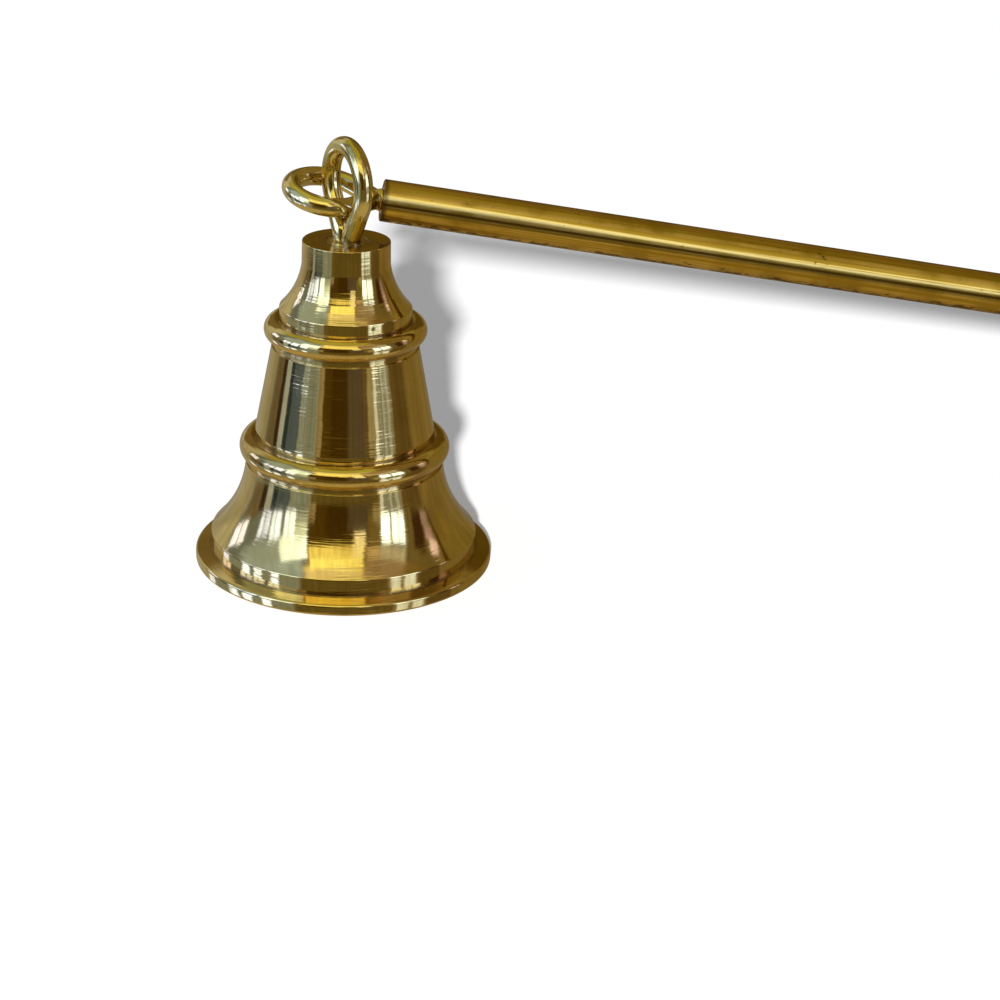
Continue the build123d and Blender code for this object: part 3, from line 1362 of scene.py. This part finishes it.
# The patches are painted in this order, later ones over earlier ones.
WALLS = (
    Patch(-180, -122, 0, 40, (0.58, 0.58, 0.46), 10),
    Patch(98, 180, 0, 34, (0.25, 0.185, 0.05), 8),
    Patch(60, 180, 36, 72, (0.26, 0.18, 0.055), 8),
    Patch(-128, -40, 0, 62, (0.20, 0.25, 0.31), 8),
    Patch(-112, -50, 26, 58, (0.45, 0.61, 0.85), 6),
    Patch(-41, 36, -5, 33, (0.09, 0.053, 0.007), 3),
    Patch(-22, 3, -5, 33, (0.062, 0.034, 0.003), 9),
    Patch(1, 26, -5, 20, (0.12, 0.095, 0.075), 4),
    Patch(22, 36, 2, 30, (0.22, 0.17, 0.06), 3),
    Patch(28, 36, -3, 12, (0.46, 0.42, 0.28), 3),
    Patch(-43, -33, -8, 12, (0.38, 0.32, 0.22), 2),
    Patch(-50, 64, 50, 66, (1.08, 0.95, 0.56), 5),
    Patch(-41, 20, 33, 44, (1.25, 1.10, 0.38), 1.5),
    Patch(-41, 20, 44, 54, (1.60, 1.55, 0.56), 3),
    Patch(6, 18, 31, 44, (1.35, 1.30, 0.80), 2),
    Patch(-45, -40.5, 34, 50, (0.40, 0.31, 0.17), 1.5),
    Patch(20, 66, 35, 62, (0.42, 0.32, 0.22), 4),
    Patch(21, 36, 33, 44, (0.74, 0.57, 0.36), 3),
    Patch(36, 68, 33, 44, (0.65, 0.64, 0.62), 3),
    Patch(18.5, 22, 36, 54, (0.30, 0.20, 0.05), 1.5),
    Patch(8, 20, 22, 31, (1.50, 1.45, 1.20), 2),
    Patch(64, 101, -8, 44, (0.20, 0.155, 0.065), 4),
    Patch(73, 85, 2, 33, (0.062, 0.030, 0.010), 4),
    Patch(84.5, 92.5, 3, 13, (0.40, 0.31, 0.37), 2),
    Patch(86.5, 95, 13, 23, (0.60, 0.42, 0.60), 2),
    Patch(91, 99, 22, 32, (1.15, 0.95, 1.30), 2),
    Patch(148, 180, 8, 32, (0.12, 0.075, 0.01), 6),
    Patch(-180, -150, 8, 32, (0.22, 0.16, 0.06), 6),
)
WINDOWS = (
    Patch(35, 65, 0, 33, (0.33, 0.33, 0.27), 2),
    Patch(37, 47, 3.5, 29, (0.44, 0.55, 0.85), 1, 5.8),
    Patch(49, 63, 3.5, 29, (0.42, 0.54, 0.90), 1, 4.8),
    Patch(-72, -42, 24, 44, (0.53, 0.70, 1.0), 1.2, 3.1),
    Patch(-57, -42, 3, 13, (0.52, 0.66, 0.84), 1.5),
    Patch(-57, -42, 13, 24, (0.98, 1.24, 1.40), 1.5),
    Patch(-57, -43, -3, 4, (0.14, 0.18, 0.21), 2),
    Patch(-68, -57, 3, 25, (0.42, 0.55, 1.0), 1, 5),
    Patch(-68, -57, -4, 3, (0.33, 0.45, 0.85)),
    Patch(-83, -72, 4, 26, (0.37, 0.50, 1.05), 1, 5.2),
    Patch(-99, -85, 5, 22, (0.38, 0.50, 1.1), 1, 3.7),
    Patch(-126, -113, 8, 22, (0.44, 0.50, 0.92), 1, 3.7),
)
WINDOW_BARS = (
    Patch(-79, -78.2, 4, 26, (0.12, 0.14, 0.16), 0.8),
    Patch(-93, -92, 5, 22, (0.14, 0.15, 0.16), 0.8),
    Patch(-63.4, -62.6, 3, 25, (0.30, 0.36, 0.40), 0.8),
    Patch(-120, -119, 8, 22, (0.16, 0.16, 0.16), 0.8),
    Patch(55.6, 56.4, 3.5, 29, (0.5, 0.6, 0.7), 0.8),
)
SHOWN_BY_TABLE = (
    Patch(-165, -125, -30, 1, (0.43, 0.41, 0.31), 6),
    Patch(-125, -40, -30, 1, (0.28, 0.33, 0.36), 4),
    Patch(-40, 36, -30, -4, (0.15, 0.115, 0.035), 4),
    Patch(64, 90, -30, 0, (0.145, 0.10, 0.035), 3),
    Patch(90, 152, -30, 0, (0.25, 0.185, 0.065), 6),
    Patch(90, 180, -75, -30, (0.27, 0.21, 0.12), 12),
    Patch(152, 180, -30, 0, (0.24, 0.20, 0.14), 5),
    Patch(-180, -165, -30, 0, (0.34, 0.30, 0.25), 5),
    Patch(-122, -104, -14, 7, (0.20, 0.17, 0.12), 2),
    Patch(-105, -98, -14, 3, (0.05, 0.03, 0.02), 2),
    Patch(-97, -89, -14, 4, (0.48, 0.56, 0.78), 1.5),
    Patch(-89, -66, -14, 3, (0.095, 0.14, 0.23), 1.5),
    Patch(-88, -82, -14, 3, (0.03, 0.05, 0.065), 1.5),
    Patch(-62, -44, -14, -3, (0.30, 0.38, 0.46), 1.5),
    Patch(37, 63, -13, 3.5, (0.29, 0.315, 0.31), 1.5),
    Patch(37, 41, -13, 3.5, (0.85, 0.95, 1.20)),
    Patch(49.5, 52, -13, 3.5, (0.50, 0.58, 0.70)),
    Patch(56, 60, -13, 3.5, (0.48, 0.54, 0.60)),
    Patch(36, 61, -19.5, -13, (1.25, 1.55, 2.2), 1.2),
    Patch(44.5, 46, -19.5, -13, (0.3, 0.34, 0.3), 0.8),
    Patch(-130, -121, -30, -20.5, (0.50, 0.58, 1.0), 1.2, 2.6),
    *(
        Patch(*span, -30, -20.5, (0.38, 0.50, 1.0), 1.2, 4.2)
        for span in ((-101, -92), (-87, -78), (-68, -60))
    ),
    *(Patch(*span, -30, -20.5, (0.50, 0.60, 0.85), 1.2, 2.4) for span in ((39, 48), (52, 62))),
)


@dataclass
class Room:
    """The room that the polished metal mirrors: a globe round the snuffer that only reflections meet."""

    radius: float = 3.0
    segments: int = 64
    streaks: float = 0.32
    streak_stretch: float = 7.0
    nadir: Colour = (0.50, 0.41, 0.20)
    horizon: Colour = (0.30, 0.22, 0.10)
    ceiling: Colour = (0.52, 0.50, 0.11)
    patches: tuple[Patch, ...] = WALLS + WINDOWS + WINDOW_BARS + SHOWN_BY_TABLE

    def _within(self, shader: Shader, angle: Socket, low: float, high: float, blur: float) -> Socket:
        """Marks where an angle lies between two others, open at the seam behind the camera.

        Args:
            shader: The globe's material.
            angle: The angle in degrees.
            low: The lower limit.
            high: The upper limit.
            blur: Width of the soft edges.

        Returns:
            1 between them and 0 outside, with soft edges.
        """
        soft, edges = blur / 2, []
        if low > -180:
            edges.append(shader.ease(angle, low - soft, low + soft))
        if high < 180:
            edges.append(shader.ease(angle, high - soft, high + soft, 1, 0))
        return shader.math("MULTIPLY", *edges) if len(edges) > 1 else edges[0]

    def _material(self) -> Material:
        """Paints the globe's glowing material with the patches.

        Returns:
            The material.
        """
        shader = Shader(bpy.data.materials.new("mirrored_room"))
        x, y, z = shader.split(shader.vector("NORMALIZE", shader.place))
        azimuth = shader.math("DEGREES", shader.math("ARCTAN2", x, shader.math("MULTIPLY", y, -1.0)))
        elevation = shader.math("DEGREES", shader.math("ARCSINE", z))
        low = shader.mix(shader.ease(elevation, -45, -22), self.nadir, self.horizon)
        colour = shader.mix(shader.ease(elevation, 5, 70), low, self.ceiling)
        for patch in self.patches:
            across = self._within(shader, azimuth, patch.left, patch.right, patch.blur)
            upright = self._within(shader, elevation, patch.low, patch.high, patch.blur)
            glow = tuple(channel * patch.strength for channel in patch.colour)
            colour = shader.mix(shader.math("MULTIPLY", across, upright), colour, glow)
        streaky = shader.noise(
            shader.join(
                shader.math("MULTIPLY", azimuth, self.streaks),
                shader.math("MULTIPLY", elevation, self.streaks / self.streak_stretch),
            ),
            1, detail=3, roughness=0.6,
        )
        light = shader.node("Emission")
        shader.show(shader.fill(light, (colour, shader.ease(streaky, 0.3, 0.7, 0.82, 1.18))))
        shader.owner.cycles.emission_sampling = "NONE"
        return shader.owner

    def build(self) -> None:
        """Builds the globe, which only mirroring rays meet."""
        globe = bmesh.new()
        bmesh.ops.create_uvsphere(
            globe, u_segments=self.segments, v_segments=self.segments // 2, radius=self.radius
        )
        bmesh.ops.reverse_faces(globe, faces=globe.faces[:])
        made = place_in_scene("mirrored_room", globe, self._material())
        made.visible_camera = made.visible_diffuse = made.visible_shadow = made.visible_transmission = False


@dataclass
class Studio:
    """The pale floor, the soft lights and the camera of the photograph. Angles are in degrees."""

    floor_size: float = 12.0
    floor_colour: Colour = (0.90, 0.90, 0.90)
    floor_lift: float = 0.14
    sky: Colour = (0.22, 0.22, 0.225)
    key_azimuth: float = -8.5
    key_elevation: float = 17.5
    key_power: float = 7.95
    key_spread: float = 2.4
    camera_place: tuple[float, float, float] = (-0.01180, -0.23955, 0.10707)
    camera_yaw: float = 7.16
    camera_pitch: float = 22.5969
    camera_roll: float = 2.15237
    camera_lens: float = 80.008
    camera_sensor: float = 36.0
    camera_nearest: float = 0.01

    def build_floor(self) -> None:
        """Lays the pale floor, which takes the snuffer's shadow."""
        shader = Shader(bpy.data.materials.new("pale_floor"))
        paper, lift = shader.node("BsdfDiffuse"), shader.node("Emission")
        shader.feed(paper.inputs["Color"], self.floor_colour)
        shader.feed(lift.inputs["Strength"], shader.math("MULTIPLY", shader.seen, self.floor_lift))
        shader.show(shader.fill(shader.node("AddShader"), (paper.outputs[0], lift.outputs[0])))
        shader.owner.cycles.emission_sampling = "NONE"
        floor = bmesh.new()
        bmesh.ops.create_grid(floor, x_segments=1, y_segments=1, size=self.floor_size / 2)
        made = place_in_scene("pale_floor", floor, shader.owner)
        made.visible_glossy = False

    def build_sky(self) -> None:
        """Fills the surroundings: an even soft light, and a white background where it is seen."""
        shader = Shader(bpy.data.worlds.new("soft_surroundings"))
        bpy.context.scene.world = shader.owner
        soft, white = shader.node("Background"), shader.node("Background")
        shader.feed(soft.inputs["Color"], self.sky)
        shader.feed(white.inputs["Color"], WHITE)
        choice = (shader.seen, soft.outputs[0], white.outputs[0])
        shader.show(shader.fill(shader.node("MixShader"), choice))

    def build_key(self) -> None:
        """Hangs the soft key light, which throws the shadow to the right and behind."""
        lamp = bpy.data.lights.new("soft_key", "SUN")
        lamp.energy = self.key_power
        lamp.angle = math.radians(self.key_spread)
        azimuth, elevation = math.radians(self.key_azimuth), math.radians(self.key_elevation)
        level = Vector((math.sin(azimuth), -math.cos(azimuth), 0))
        towards = level * math.cos(elevation) + UP * math.sin(elevation)
        made = bpy.data.objects.new("soft_key", lamp)
        bpy.context.scene.collection.objects.link(made)
        made.rotation_mode = "QUATERNION"
        made.rotation_quaternion = towards.to_track_quat("Z", "Y")
        made.visible_glossy = False

    def build_camera(self) -> None:
        """Sets the camera where the photograph was taken from."""
        degrees = (self.camera_yaw, self.camera_pitch, self.camera_roll)
        yaw, pitch, roll = (math.radians(angle) for angle in degrees)
        ahead = Vector((math.sin(yaw), math.cos(yaw), 0))
        forward = ahead * math.cos(pitch) - UP * math.sin(pitch)
        level = Vector((math.cos(yaw), -math.sin(yaw), 0))
        upright = level.cross(forward)
        right = math.cos(roll) * level + math.sin(roll) * upright
        above = -math.sin(roll) * level + math.cos(roll) * upright
        data = bpy.data.cameras.new("camera")
        data.sensor_width, data.lens = self.camera_sensor, self.camera_lens
        data.clip_start = self.camera_nearest
        made = bpy.data.objects.new("camera", data)
        bpy.context.scene.collection.objects.link(made)
        turned = Matrix((right, above, -forward)).transposed().to_4x4()
        made.matrix_world = Matrix.Translation(Vector(self.camera_place)) @ turned
        bpy.context.scene.camera = made


def main() -> None:
    """Builds the stage and the snuffer, piece by piece."""
    logging.basicConfig(level=logging.INFO, format="%(name)s: %(message)s")
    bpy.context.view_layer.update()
    bpy.context.scene.view_settings.view_transform = "Standard"

    studio = Studio()
    studio.build_camera()
    studio.build_floor()
    studio.build_sky()
    studio.build_key()
    Room().build()

    placement = Placement.from_frame()
    bell, eyes, handle = Bell(), Eyes(), Handle()
    turned, wired, plugged, drawn, knobbed = finishes = (
        bell.finish(), eyes.finish(), handle.plug_finish(), handle.tube_finish(placement),
        handle.knob_finish(),
    )
    materials = {finish.slot: finish.material() for finish in finishes}
    plug = handle.build_plug(placement, eyes.shank_hole_radius)
    handle_eye = eyes.build_handle_eye(placement, handle.plug_length)
    for piece, solids in (
        (Piece("bell_shell", "snuffer_bell", Body.BELL, turned), [bell.build()]),
        (Piece("bell_eye_wire", "bell_eye", Body.BELL_EYE, wired), eyes.build_bell_eye(bell)),
        (Piece("handle_eye_wire", "handle_eye", Body.HANDLE_EYE, wired), handle_eye),
        (Piece("mouth_plug", "eye_plug", Body.HANDLE, plugged), [plug]),
        (Piece("handle_pipe", "handle_tube", Body.HANDLE, drawn), [handle.build_tube(placement)]),
        (Piece("end_ball", "end_knob", Body.HANDLE, knobbed), [handle.build_knob(placement)]),
    ):
        piece.settle(solids, materials[piece.finish.slot])


if __name__ == "__main__":
    main()
